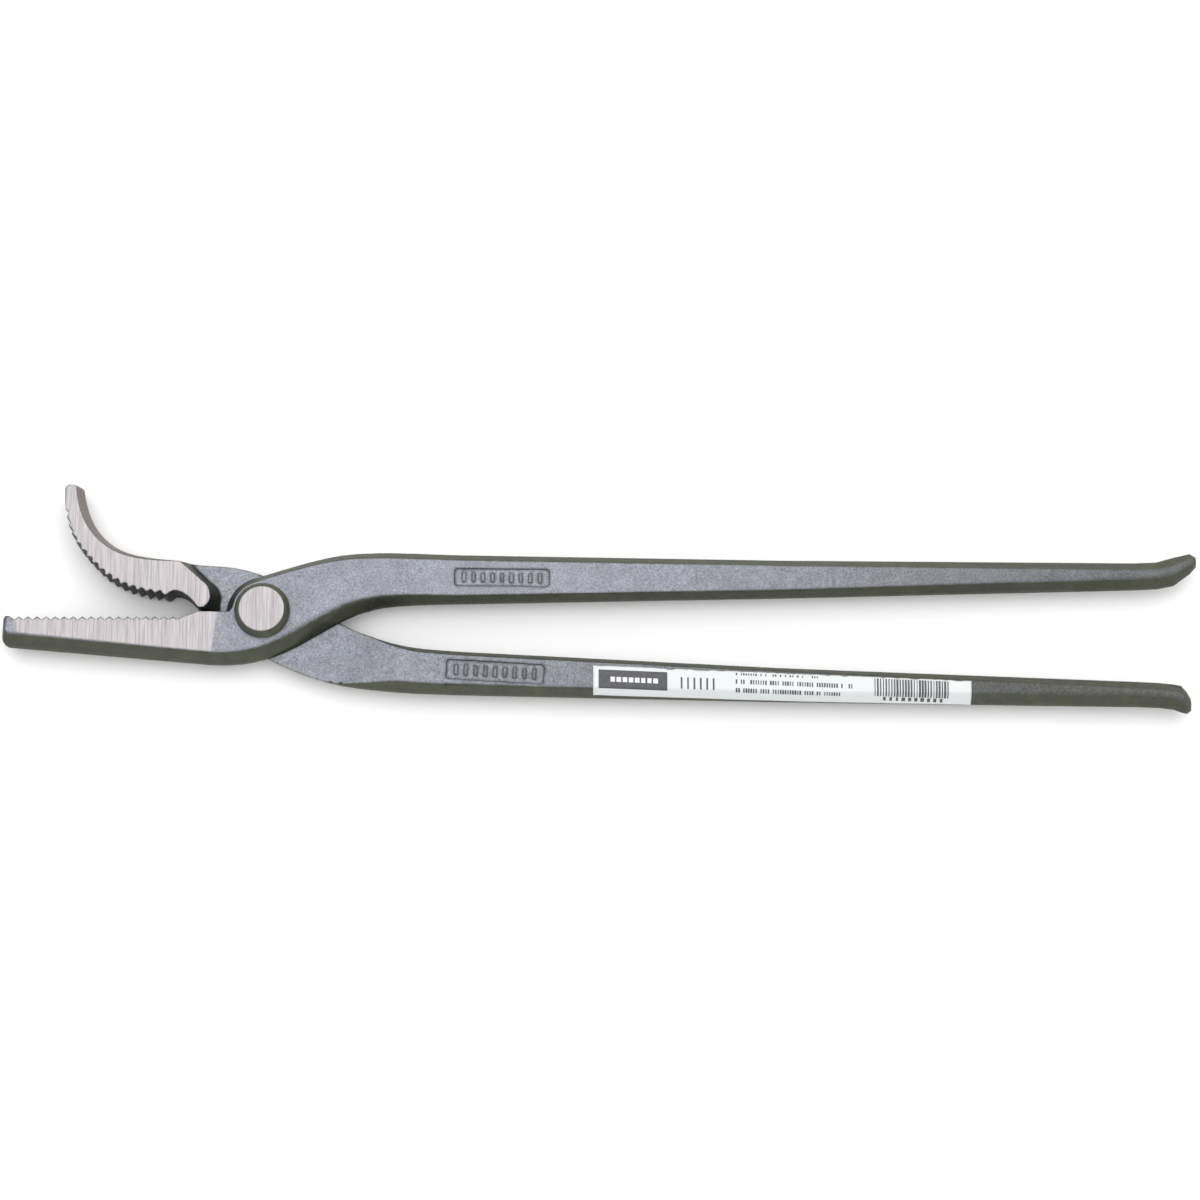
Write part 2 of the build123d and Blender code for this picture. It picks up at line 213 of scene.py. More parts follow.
def spread(values, edges, rounds):
    """Averages a value over neighbouring vertices, several times."""
    one, two = edges[:, 0], edges[:, 1]
    size = len(values)
    count = np.bincount(one, minlength=size) + np.bincount(two, minlength=size) + 1.0
    for _ in range(rounds):
        total = values + np.bincount(one, values[two], size) + np.bincount(two, values[one], size)
        values = total / count
    return values


def ramp(values, low, high):
    """Smooth step from 0 at low to 1 at high."""
    share = np.clip((values - low) / (high - low), 0, 1)
    return share * share * (3 - 2 * share)


def store(mesh, name, values):
    """Keeps a value per vertex for the materials."""
    attribute = mesh.attributes.get(name) or mesh.attributes.new(name, "FLOAT", "POINT")
    attribute.data.foreach_set("value", values.astype(np.float32))


def shade_smooth(mesh):
    """Rounded shading on every face."""
    mesh.polygons.foreach_set("use_smooth", np.ones(len(mesh.polygons), bool))
    mesh.update()


def edge_bend(mesh, rounds):
    """How far each vertex stands proud of its neighbours: above 0 on ridges, below 0 in hollows."""
    points, normals, edges = points_of(mesh), normals_of(mesh), edges_of(mesh)
    size = len(points)
    for axis in range(3):
        normals[:, axis] = spread(normals[:, axis], edges, 1)
    normals /= np.maximum(np.linalg.norm(normals, axis=1), MIN_NORMAL)[:, None]
    one, two = edges[:, 0], edges[:, 1]
    step = points[two] - points[one]
    far = np.maximum(np.linalg.norm(step, axis=1), MIN_NORMAL)
    fall = np.bincount(one, -(step * normals[one]).sum(1) / far, size)
    fall += np.bincount(two, (step * normals[two]).sum(1) / far, size)
    count = np.maximum(np.bincount(one, minlength=size) + np.bincount(two, minlength=size), 1)
    return spread(fall / count, edges, rounds)


SHELTER_REACH = 14 * MM          # steel nearer than this shades a vertex, for painted shade
SHELTER_RAYS = 10
SHELTER_START = 0.15 * MM
SHELTER_LOWEST = 0.12            # rise of the flattest ray
SHELTER_SPREAD = 0.85            # and how much more the steepest one has
FLANK_SLOPE = (0.72, 0.86)       # upright share of the normal, from flank to face
FLANK_LEAST = 0.2                # painted shade from nearby steel is looked for on vertices that are this much flank
SHADE_SHARE = (0.06, 0.34)        # share shut off, from no painted shade to full painted shade
RIDGE_BEND = (0.05, 0.24)
HOLLOW_BEND = (0.05, 0.22)
RIM_SLOPE = (0.02, 0.2)          # lean of a struck panel's edges, from no painted shade to full painted shade
RIM_GAIN = 1.3
RIM_DARKEST = 0.85


def shelter(points, normals, chosen, walls):
    """Share of the open side of each chosen vertex that other steel close by shuts off."""
    turn = math.pi * (3 - math.sqrt(5))
    spokes = []
    for index in range(SHELTER_RAYS):
        rise = SHELTER_LOWEST + SHELTER_SPREAD * index / (SHELTER_RAYS - 1)
        flat = math.sqrt(max(0.0, 1 - rise * rise))
        spokes.append((flat * math.cos(turn * index), flat * math.sin(turn * index), rise))
    spokes = np.array(spokes)
    shut = np.zeros(len(points))
    for index in np.nonzero(chosen)[0]:
        normal = normals[index]
        side = np.cross(normal, (0.0, 0.0, 1.0) if abs(normal[2]) < 0.9 else (1.0, 0.0, 0.0))
        side /= max(np.linalg.norm(side), MIN_NORMAL)
        fans = spokes @ np.array([side, np.cross(normal, side), normal])
        start = Vector(points[index] + normal * SHELTER_START)
        hits = 0
        for fan in fans:
            ray = Vector(fan)
            if any(wall.ray_cast(start, ray, SHELTER_REACH)[0] is not None for wall in walls):
                hits += 1
        shut[index] = hits / SHELTER_RAYS
    return shut


def steel_attributes(mesh, ground, cut=None, bare=None, struck=None, joint_reach=0.0):
    """Stores what the steel's material reads: ground faces, flanks, ridges, and painted shade in hollows
    and where nearby steel shuts the light off.
    """
    edges = edges_of(mesh)
    points, normals = points_of(mesh), normals_of(mesh)
    upright = spread(np.abs(normals[:, 2]), edges, 2)
    bend = edge_bend(mesh, 2)
    flank = 1 - ramp(upright, *FLANK_SLOPE)
    painted_shade = np.zeros(len(points))
    # Painted shade near the joint: the share of each flank vertex's open side that nearby steel shuts off.
    if joint_reach:
        near = np.hypot(points[:, 0], points[:, 1]) < joint_reach
        walls = [cad_walls(node) for node in ("straight_jaw_arm", "curved_jaw_arm")]
        painted_shade = spread(shelter(points, normals, near & (flank > FLANK_LEAST), walls), edges, 2)
    painted_shade = ramp(painted_shade, *SHADE_SHARE)
    # Painted shade on the toothed sides, heel and blunt end, as sides that face away from the light.
    if cut is not None:
        painted_shade = np.maximum(painted_shade, spread(cut * flank, edges, 1))
    # Painted shade on the steep edges of the struck panels.
    if struck is not None:
        rims = struck * ramp(1 - np.abs(normals[:, 2]), *RIM_SLOPE)
        painted_shade = np.maximum(painted_shade, np.clip(RIM_GAIN * spread(rims, edges, 1), 0, RIM_DARKEST))
    store(mesh, "ground", ground)
    store(mesh, "flank", flank)
    store(mesh, "bare", np.zeros(len(points)) if bare is None else bare * flank)
    store(mesh, "ridge", ramp(bend, *RIDGE_BEND))
    # hollow: painted shade in concave creases, joined with the painted shade above.
    store(mesh, "hollow_shade", np.maximum(ramp(-bend, *HOLLOW_BEND), painted_shade))


# ---------------------------------------------------------------- geometry node trees

def new_tree(name, inputs):
    """Geometry node tree with named inputs, given as (name, socket type, default)."""
    tree = bpy.data.node_groups.new(name, "GeometryNodeTree")
    tree.interface.new_socket("Geometry", in_out="INPUT", socket_type="NodeSocketGeometry")
    for label, kind, default in inputs:
        socket = tree.interface.new_socket(label, in_out="INPUT", socket_type=kind)
        if default is not None:
            socket.default_value = default
    tree.interface.new_socket("Geometry", in_out="OUTPUT", socket_type="NodeSocketGeometry")
    return tree, tree.nodes.new("NodeGroupInput"), tree.nodes.new("NodeGroupOutput")


def wired(tree, kind, values=None, **settings):
    """Adds a node, sets its properties, then sets or links its inputs by name or number."""
    node = tree.nodes.new(kind)
    for key, value in settings.items():
        setattr(node, key, value)
    for key, value in (values or {}).items():
        if isinstance(value, bpy.types.NodeSocket):
            tree.links.new(value, node.inputs[key])
        else:
            node.inputs[key].default_value = value
    return node


def maths(tree, operation, *values):
    """One maths node's result."""
    return wired(tree, "ShaderNodeMath", dict(enumerate(values)), operation=operation).outputs[0]


def end_tree(tree, given, out, geometry):
    """Makes instances real and gives the result its material."""
    real = wired(tree, "GeometryNodeRealizeInstances", {0: geometry})
    done = wired(tree, "GeometryNodeSetMaterial", {"Geometry": real.outputs[0],
                                                   "Material": given.outputs["Material"]})
    tree.links.new(done.outputs[0], out.inputs[0])
    return tree


def apply_tree(obj, tree, values):
    """Adds the tree as a modifier and sets its inputs by their identifiers."""
    modifier = obj.modifiers.new(tree.name, "NODES")
    modifier.node_group = tree
    for item in tree.interface.items_tree:
        if item.item_type == "SOCKET" and item.in_out == "INPUT" and item.name in values:
            modifier[item.identifier] = values[item.name]
    return modifier


SWELL_SCALE = 0.12               # fineness of the low swells, beside the pits
SWELL_HEIGHT = 1.6               # their height, as a share of the pits' depth


def forged_skin_tree():
    """Pits and low swells that forging scale leaves, pushed along the surface where it is forged."""
    tree, given, out = new_tree("Forged skin", [
        ("Pit size", "NodeSocketFloat", 0.0011), ("Pit depth", "NodeSocketFloat", 0.00004),
        ("Seed", "NodeSocketFloat", 0.0), ("Material", "NodeSocketMaterial", None)])
    scale = maths(tree, "DIVIDE", 1.0, given.outputs["Pit size"])
    fine = wired(tree, "ShaderNodeTexNoise", {"Scale": scale, "W": given.outputs["Seed"],
                                              "Detail": 2.5, "Roughness": 0.6}, noise_dimensions="4D")
    wide = wired(tree, "ShaderNodeTexNoise", {"Scale": maths(tree, "MULTIPLY", scale, SWELL_SCALE),
                                              "W": given.outputs["Seed"], "Detail": 1.0},
                 noise_dimensions="4D")
    pits = wired(tree, "ShaderNodeMapRange", {"Value": fine.outputs[0], "From Min": 0.30, "From Max": 0.62,
                                              "To Min": -1.0, "To Max": 0.0},
                 interpolation_type="SMOOTHSTEP")
    swell = maths(tree, "SUBTRACT", wide.outputs[0], 0.5)
    both = maths(tree, "MULTIPLY_ADD", swell, SWELL_HEIGHT, pits.outputs[0])
    deep = maths(tree, "MULTIPLY", both, given.outputs["Pit depth"])
    mask = wired(tree, "GeometryNodeInputNamedAttribute", {"Name": "forged"}, data_type="FLOAT")
    shown = maths(tree, "MULTIPLY", deep, mask.outputs[0])
    normal = wired(tree, "GeometryNodeInputNormal")
    push = wired(tree, "ShaderNodeVectorMath", {0: normal.outputs[0], "Scale": shown}, operation="SCALE")
    moved = wired(tree, "GeometryNodeSetPosition", {"Geometry": given.outputs["Geometry"],
                                                    "Offset": push.outputs[0]})
    return end_tree(tree, given, out, moved.outputs[0])


def print_row_tree():
    """A row of upright bars of random width, laid flat, as one line of print."""
    tree, given, out = new_tree("Print row", [
        ("Count", "NodeSocketInt", 8), ("Pitch", "NodeSocketFloat", 0.001),
        ("Least width", "NodeSocketFloat", 0.0003), ("Greatest width", "NodeSocketFloat", 0.0008),
        ("Bar height", "NodeSocketFloat", 0.001), ("Ink height", "NodeSocketFloat", 0.00001),
        ("Gap share", "NodeSocketFloat", 0.0), ("Bends", "NodeSocketInt", 4),
        ("Seed", "NodeSocketInt", 1), ("Material", "NodeSocketMaterial", None)])
    half = maths(tree, "MULTIPLY", given.outputs["Pitch"], 0.5)
    first = wired(tree, "ShaderNodeCombineXYZ", {"X": half})
    step = wired(tree, "ShaderNodeCombineXYZ", {"X": given.outputs["Pitch"]})
    line = wired(tree, "GeometryNodeMeshLine", {"Count": given.outputs["Count"],
                                                "Start Location": first.outputs[0],
                                                "Offset": step.outputs[0]}, mode="OFFSET")
    blank = wired(tree, "FunctionNodeRandomValue", {"Probability": given.outputs["Gap share"],
                                                    "Seed": given.outputs["Seed"]}, data_type="BOOLEAN")
    places = wired(tree, "GeometryNodeDeleteGeometry", {0: line.outputs[0], 1: blank.outputs[3]})
    bar = wired(tree, "GeometryNodeMeshCube", {"Size": (1, 1, 1), "Vertices X": 2,
                                               "Vertices Y": given.outputs["Bends"], "Vertices Z": 2})
    width = wired(tree, "FunctionNodeRandomValue", {2: given.outputs["Least width"],
                                                    3: given.outputs["Greatest width"],
                                                    "Seed": given.outputs["Seed"]}, data_type="FLOAT")
    size = wired(tree, "ShaderNodeCombineXYZ", {"X": width.outputs[1], "Y": given.outputs["Bar height"],
                                                "Z": given.outputs["Ink height"]})
    bars = wired(tree, "GeometryNodeInstanceOnPoints", {"Points": places.outputs[0],
                                                        "Instance": bar.outputs[0],
                                                        "Scale": size.outputs[0]})
    return end_tree(tree, given, out, bars.outputs[0])


# ---------------------------------------------------------------- materials

def new_material(name):
    """Empty node material with its shader and output."""
    material = bpy.data.materials.new(name)
    material.use_nodes = True
    tree = material.node_tree
    tree.nodes.clear()
    shader = tree.nodes.new("ShaderNodeBsdfPrincipled")
    out = tree.nodes.new("ShaderNodeOutputMaterial")
    tree.links.new(shader.outputs[0], out.inputs["Surface"])
    return material, tree, shader


def blend_colour(tree, share, one, two, kind="MIX"):
    """Mixes two colours, each a socket or a linear colour."""
    node = tree.nodes.new("ShaderNodeMix")
    node.data_type = "RGBA"
    node.blend_type = kind
    for socket, value in ((node.inputs[0], share), (node.inputs[6], one), (node.inputs[7], two)):
        if isinstance(value, bpy.types.NodeSocket):
            tree.links.new(value, socket)
        elif socket == node.inputs[0]:
            socket.default_value = value
        else:
            socket.default_value = (*value, 1)
    return node.outputs[2]


def fitted(tree, value, low, high, first=0.0, last=1.0):
    """Maps a value's range to another, smoothly and within its ends."""
    node = wired(tree, "ShaderNodeMapRange", {"Value": value, "From Min": low, "From Max": high,
                                              "To Min": first, "To Max": last},
                 interpolation_type="SMOOTHSTEP")
    return node.outputs[0]


def tinted(tree, colour, value, low, high, most, tint):
    """Multiplies a colour by a tint, up to a greatest share, where a value runs from low to high."""
    return blend_colour(tree, fitted(tree, value, low, high, 0.0, most), colour, tint, "MULTIPLY")


def grain_noise(tree, place, size, seed, detail=4.0, roughness=0.6, stretch=(1, 1, 1)):
    """Noise with features of a given size in metres, stretched along an axis if need be."""
    mapped = wired(tree, "ShaderNodeMapping", {"Vector": place, "Scale": stretch})
    node = wired(tree, "ShaderNodeTexNoise", {"Vector": mapped.outputs[0], "Scale": 1 / size,
                                              "W": float(seed), "Detail": detail,
                                              "Roughness": roughness}, noise_dimensions="4D")
    return node.outputs[0]


def attribute(tree, name):
    """A value stored on the mesh."""
    node = tree.nodes.new("ShaderNodeAttribute")
    node.attribute_name = name
    return node.outputs["Fac"]


PIT_GRAIN = 0.42                 # size of each pattern on the steel, in pit sizes or line pitches
MOTTLE_GRAIN = 3.4
BAND_GRAIN = 7
CLOUD_SIZE = 22 * MM
LINE_STRETCH = (1, 0.03, 1)      # grinding lines run across the tool
LINE_DEPTH = 0.006 * MM
PIT_BUMP = 1.9


def steel_material(name, settings, seed, fade_from, fade_to):
    """Forged and ground steel: pitted faces, flanks in dark olive painted shade, painted shade in hollows,
    and bright ground faces.
    """
    material, tree, shader = new_material(name)
    place = tree.nodes.new("ShaderNodeTexCoord").outputs["Object"]
    ground, flank = attribute(tree, "ground"), attribute(tree, "flank")
    ridge, hollow_shade = attribute(tree, "ridge"), attribute(tree, "hollow_shade")

    pits = grain_noise(tree, place, settings.pit_size * PIT_GRAIN, seed, 5.0, 0.72)
    mottle = grain_noise(tree, place, settings.pit_size * MOTTLE_GRAIN, seed + 2, 5.0, 0.62)
    clouds = grain_noise(tree, place, CLOUD_SIZE, seed + 3, 3.0, 0.5)
    lines = grain_noise(tree, place, settings.line_pitch, seed + 5, 3.0, 0.6, LINE_STRETCH)
    bands = grain_noise(tree, place, settings.line_pitch * BAND_GRAIN, seed + 6, 3.0, 0.55, LINE_STRETCH)

    # Blasted face: dims towards the handle end, mottled, with dark pits and light specks.
    along = wired(tree, "ShaderNodeSeparateXYZ", {0: place}).outputs["X"]
    end_share = fitted(tree, along, fade_from, fade_to)
    face = blend_colour(tree, end_share, tuple(settings.face_colour), tuple(settings.end_colour))
    cloud_share = maths(tree, "MULTIPLY", fitted(tree, clouds, 0.3, 0.7), 0.35)
    face = blend_colour(tree, cloud_share, face, (0.80, 0.82, 0.83), "MULTIPLY")
    face = tinted(tree, face, mottle, 0.35, 0.68, 0.7, (1.28, 1.28, 1.3))
    face = tinted(tree, face, pits, 0.54, 0.36, 0.8, (0.58, 0.59, 0.60))
    face = tinted(tree, face, pits, 0.52, 0.68, 0.8, (1.42, 1.42, 1.42))
    # Flank: dark olive painted shade, as the flanks face away from the light; streaked and a little
    # lighter where the scale has gone.
    side = tinted(tree, tuple(settings.flank_shade_colour), mottle, 0.38, 0.7, 0.6, (1.45, 1.42, 1.35))
    side = tinted(tree, side, pits, 0.5, 0.34, 0.5, (0.55, 0.57, 0.5))
    inner = tinted(tree, tuple(settings.bare_colour), mottle, 0.35, 0.68, 0.5, (0.7, 0.72, 0.72))
    side = blend_colour(tree, attribute(tree, "bare"), side, inner)
    rough = blend_colour(tree, flank, face, side)
    wear = maths(tree, "MULTIPLY", ridge, fitted(tree, mottle, 0.4, 0.66, 0.1, 0.75))
    rough = blend_colour(tree, wear, rough, tuple(settings.wear_colour))
    # Painted shade in hollows, creases and corners that nearby steel shuts in.
    rough = blend_colour(tree, maths(tree, "MULTIPLY", hollow_shade, 0.9), rough, tuple(settings.hollow_shade_colour))
    # Ground face: bright, with fine lines, broader bands and a faint warm tint.
    bright = blend_colour(tree, fitted(tree, lines, 0.32, 0.68), (0.80, 0.80, 0.82), (1.14, 1.13, 1.14))
    bright = blend_colour(tree, 1.0, bright, tuple(settings.ground_colour), "MULTIPLY")
    bright = blend_colour(tree, maths(tree, "MULTIPLY", fitted(tree, bands, 0.36, 0.64), 0.5), bright,
                          (1.0, 0.93, 0.94), "MULTIPLY")
    bright = tinted(tree, bright, pits, 0.36, 0.27, 0.45, (0.5, 0.48, 0.48))
    colour = blend_colour(tree, ground, rough, bright)
    tree.links.new(colour, shader.inputs["Base Color"])

    sheen = maths(tree, "MULTIPLY", flank, -0.15)
    metal = maths(tree, "ADD", 0.62, sheen)
    metal = maths(tree, "MAXIMUM", metal, maths(tree, "MULTIPLY", ground, 0.92))
    tree.links.new(metal, shader.inputs["Metallic"])
    dull = fitted(tree, pits, 0.3, 0.7, 0.62, 0.48)
    dull = maths(tree, "MULTIPLY_ADD", wear, -0.12, dull)
    gloss = fitted(tree, lines, 0.3, 0.7, 0.44, 0.3)
    mix = wired(tree, "ShaderNodeMix", {0: ground, 2: dull, 3: gloss}, data_type="FLOAT")
    tree.links.new(mix.outputs[0], shader.inputs["Roughness"])

    bare = maths(tree, "SUBTRACT", 1.0, ground)
    pit_bump = wired(tree, "ShaderNodeBump", {"Strength": bare, "Distance": settings.pit_depth * PIT_BUMP,
                                              "Height": pits})
    line_bump = wired(tree, "ShaderNodeBump", {"Strength": ground, "Distance": LINE_DEPTH,
                                               "Height": lines, "Normal": pit_bump.outputs[0]})
    tree.links.new(line_bump.outputs[0], shader.inputs["Normal"])
    return material


def paper_material(settings):
    """Coated label paper: faint fibres and mottling, soiled where its edges have rubbed."""
    material, tree, shader = new_material("label_paper")
    place = tree.nodes.new("ShaderNodeTexCoord").outputs["Object"]
    rim = attribute(tree, "rim")
    fibres = grain_noise(tree, place, 0.0007, settings.seed, 6.0, 0.7, (0.35, 1, 1))
    mottle = grain_noise(tree, place, 0.006, settings.seed + 1, 4.0, 0.6)
    specks = grain_noise(tree, place, 0.0005, settings.seed + 2, 2.0, 0.5)
    colour = tinted(tree, tuple(settings.paper_colour), fibres, 0.35, 0.65, 0.35, (0.93, 0.94, 0.94))
    colour = tinted(tree, colour, mottle, 0.45, 0.72, 0.4, (0.92, 0.93, 0.90))
    colour = tinted(tree, colour, specks, 0.72, 0.8, 0.6, (0.55, 0.56, 0.5))
    soiled = maths(tree, "MULTIPLY", rim, fitted(tree, specks, 0.35, 0.6, 0.35, 1.0))
    colour = blend_colour(tree, soiled, colour, tuple(settings.soil_colour))
    tree.links.new(colour, shader.inputs["Base Color"])
    tree.links.new(fitted(tree, fibres, 0.3, 0.7, 0.5, 0.36), shader.inputs["Roughness"])
    bump = wired(tree, "ShaderNodeBump", {"Strength": 0.5, "Distance": 0.01 * MM, "Height": fibres})
    tree.links.new(bump.outputs[0], shader.inputs["Normal"])
    return material


def ink_material(name, colour, seed):
    """Print: ink that thins a little over the paper's fibres."""
    material, tree, shader = new_material(name)
    place = tree.nodes.new("ShaderNodeTexCoord").outputs["Object"]
    thin = grain_noise(tree, place, 0.0004, seed, 5.0, 0.7)
    tone = blend_colour(tree, fitted(tree, thin, 0.45, 0.75, 0.0, 0.55), colour,
                        tuple(min(1.0, c * 2.2 + 0.03) for c in colour))
    tree.links.new(tone, shader.inputs["Base Color"])
    tree.links.new(fitted(tree, thin, 0.3, 0.7, 0.5, 0.34), shader.inputs["Roughness"])
    bump = wired(tree, "ShaderNodeBump", {"Strength": 0.4, "Distance": 0.004 * MM, "Height": thin})
    tree.links.new(bump.outputs[0], shader.inputs["Normal"])
    return material


def floor_material(settings):
    """Pale seamless studio floor with a very faint unevenness."""
    material, tree, shader = new_material("studio_floor")
    place = tree.nodes.new("ShaderNodeTexCoord").outputs["Object"]
    cloud = grain_noise(tree, place, 0.25, 3, 2.0, 0.5)
    colour = blend_colour(tree, fitted(tree, cloud, 0.3, 0.7), tuple(settings.floor_colour),
                          tuple(c * 0.99 for c in settings.floor_colour))
    tree.links.new(colour, shader.inputs["Base Color"])
    shader.inputs["Roughness"].default_value = 0.9
    shader.inputs["Specular IOR Level"].default_value = 0.2
    return material


# ---------------------------------------------------------------- forged arms

HEEL_TOP_X = -11.5 * MM          # where the straight jaw's ground face ends, at the teeth
HEEL_LOW_X = -12.8 * MM          # and at its lower edge
TIP_GROUND_X = -62.6 * MM        # the straight jaw's tip is left unground from here on
STEP_WALL_X = -11.3 * MM         # foot of the step wall behind the curved jaw
HEEL_Y = -10.2 * MM              # lower edge of the straight jaw's ground face at the heel
SKIN = 0.3 * MM                  # a face is ground within this of its plane
STRAIGHT_FADE = (0.05, 0.30)     # each handle's face dims between these places along it
CURVED_FADE = (0.0, 0.20)
JOINT_REACH = 62 * MM            # painted shade from nearby steel is looked for this near the rivet
HALVINGS = 10                    # of the remeshed box, down to one cell
SHARP_ANGLE = math.radians(38)   # edges bent more than this keep a crisp highlight


def on_face(points, normals):
    """1 on the front and back faces of the jaws and bosses, 0 elsewhere."""
    front = (points[:, 2] > FACE - SKIN) & (normals[:, 2] > 0.8)
    back = (points[:, 2] < BACK + SKIN) & (normals[:, 2] < -0.8)
    return (front | back).astype(float)


def waver(points, size, seed):
    """Slow random drift of a line across the faces."""
    return np.array([noise.noise(Vector((p[0] / size, p[1] / size, seed))) for p in points])


def straight_ground(points, normals):
    """Ground faces of the straight jaw, between its tip and its heel."""
    level = on_face(points, normals)
    drop = np.clip(points[:, 1] / HEEL_Y, 0, 1)
    limit = HEEL_TOP_X + (HEEL_LOW_X - HEEL_TOP_X) * drop
    near = level > 0
    drift = np.zeros(len(points))
    drift[near] = waver(points[near], 1.6 * MM, 2.5) * 0.25 * MM
    before_heel = ramp(limit + drift - points[:, 0], -0.15 * MM, 0.15 * MM)
    slant = 0.35 * (points[:, 1] + 3.3 * MM)
    behind_tip = ramp(points[:, 0] + drift + slant, TIP_GROUND_X - 1.3 * MM, TIP_GROUND_X + 0.6 * MM)
    return level * before_heel * behind_tip


def curved_ground(points, normals):
    """Ground faces of the curved jaw, up to the step wall."""
    return on_face(points, normals) * ramp(-points[:, 0], -STEP_WALL_X - 0.4 * MM, -STEP_WALL_X)


def straight_crisp(points):
    """1 where the straight arm was cut or ground and stays crisp: its teeth, heel and jaw face."""
    jaw = ramp(-points[:, 0], 11 * MM, 14 * MM)
    toothed = ramp(points[:, 1], -3.4 * MM, -2.6 * MM)
    face = ramp(np.abs(points[:, 2] - LAP), 3.4 * MM, 4.2 * MM)
    return jaw * np.maximum(toothed, face)


def curved_crisp(points):
    """1 where the curved arm was cut or ground and stays crisp: its whole jaw."""
    return ramp(-points[:, 0], 15 * MM, 18 * MM)


STRAIGHT_PANEL = (60.8 * MM, 8.75 * MM, 24.1 * MM, 4.5 * MM)      # middle, length and height
CURVED_PANEL = (59.2 * MM, -15.6 * MM, 24.8 * MM, 6.0 * MM)


def on_panel(points, panel):
    """1 on a handle's stamped panel, whose edges were struck after forging and stay sharper."""
    x, y, length, height = panel
    inside = ramp(length / 2 + 1 * MM - np.abs(points[:, 0] - x), 0, 0.8 * MM)
    inside = inside * ramp(height / 2 + 0.7 * MM - np.abs(points[:, 1] - y), 0, 0.6 * MM)
    return 0.75 * inside * (points[:, 2] > LAP + 2 * MM)


def straight_shaded_sides(points, normals):
    """1 on the straight jaw's toothed side, heel and blunt end, which get painted shade as sides that face
    away from the light.
    """
    toothed = (points[:, 0] < -11.5 * MM) & (points[:, 1] > -3.4 * MM) & (normals[:, 1] > 0.2)
    blunt = (points[:, 0] < -64.3 * MM) & (normals[:, 0] < -0.5)
    return np.where(toothed | blunt, 0.9, 0.0)


def curved_shaded_sides(points, normals):
    """1 on the curved jaw's toothed side and under its heel, which get painted shade as sides that face
    away from the light.
    """
    outer = normals[:, 0] + normals[:, 1] < -0.1
    return np.where((points[:, 0] < -12 * MM) & outer, 0.9, 0.0)


def curved_bare(points, normals):
    """1 inside the curve of the curved jaw, towards its tip."""
    inner = ramp(normals[:, 0] + normals[:, 1], 0.1, 0.5)
    return inner * ramp(points[:, 1], 12 * MM, 18 * MM) * ramp(-points[:, 0], 26 * MM, 34 * MM)


def on_lap(points):
    """1 on the faces that slide on each other, round the rivet, which stay flat and smooth."""
    return 1 - ramp(np.abs(points[:, 2] - LAP), 0.2 * MM, 0.5 * MM)


def set_group(obj, name, values):
    """Vertex group with the values given."""
    group = obj.vertex_groups.new(name=name)
    steps = np.round(np.clip(values, 0, 1) * 20).astype(int)
    for level in range(1, 21):
        chosen = np.nonzero(steps == level)[0].tolist()
        if chosen:
            group.add(chosen, level / 20, "REPLACE")


def finish_forging(node, name, body, masks, panel, fade, seed):
    """Replaces an arm's CAD node with a forging that has rounded edges, pits and ground faces."""
    crisp, ground, shaded_side, bare_side = masks
    settings = bpy.context.scene.clincher_steel
    obj = merged_copy(node, name)
    cells = obj.modifiers.new("Skin", "REMESH")
    low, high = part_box(node)
    cells.mode = "SHARP"
    cells.octree_depth = HALVINGS
    cells.scale = min(0.99, (high.x - low.x) / (settings.grain * 2 ** HALVINGS))
    cells.sharpness = 1.0
    cells.use_remove_disconnected = False
    plain_mesh(obj)
    points = points_of(obj.data)
    cut, lap = np.maximum(crisp(points), on_panel(points, panel)), on_lap(points)
    set_group(obj, "soft", np.clip(1 - cut - lap, 0, 1))
    set_group(obj, "keen", np.clip(cut - lap, 0, 1))
    set_group(obj, "forged", np.clip(1 - cut - lap, 0, 1))
    soften = obj.modifiers.new("Rounded edges", "SMOOTH")
    soften.factor, soften.iterations, soften.vertex_group = 0.5, settings.rounding, "soft"
    settle = obj.modifiers.new("Broken edges", "SMOOTH")
    settle.factor, settle.iterations, settle.vertex_group = 0.5, 1, "keen"
    material = steel_material(f"{name}_steel", settings, seed, *fade)
    apply_tree(obj, forged_skin_tree(), {"Pit size": settings.pit_size, "Pit depth": settings.pit_depth,
                                         "Seed": float(seed), "Material": material})
    plain_mesh(obj)
    obj.vertex_groups.clear()
    if not obj.data.materials:
        obj.data.materials.append(material)
    mesh = obj.data
    points, normals = points_of(mesh), normals_of(mesh)
    bare = bare_side(points, normals) if bare_side else None
    steel_attributes(mesh, ground(points, normals), shaded_side(points, normals), bare,
                     on_panel(points, panel), JOINT_REACH)
    shade_smooth(mesh)
    mesh.set_sharp_from_angle(angle=SHARP_ANGLE)
    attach(obj, body)
    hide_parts(node)
    return obj


# ---------------------------------------------------------------- rivet

RIVET_SEGMENTS = 180
RIVET_STEP = 0.22 * MM


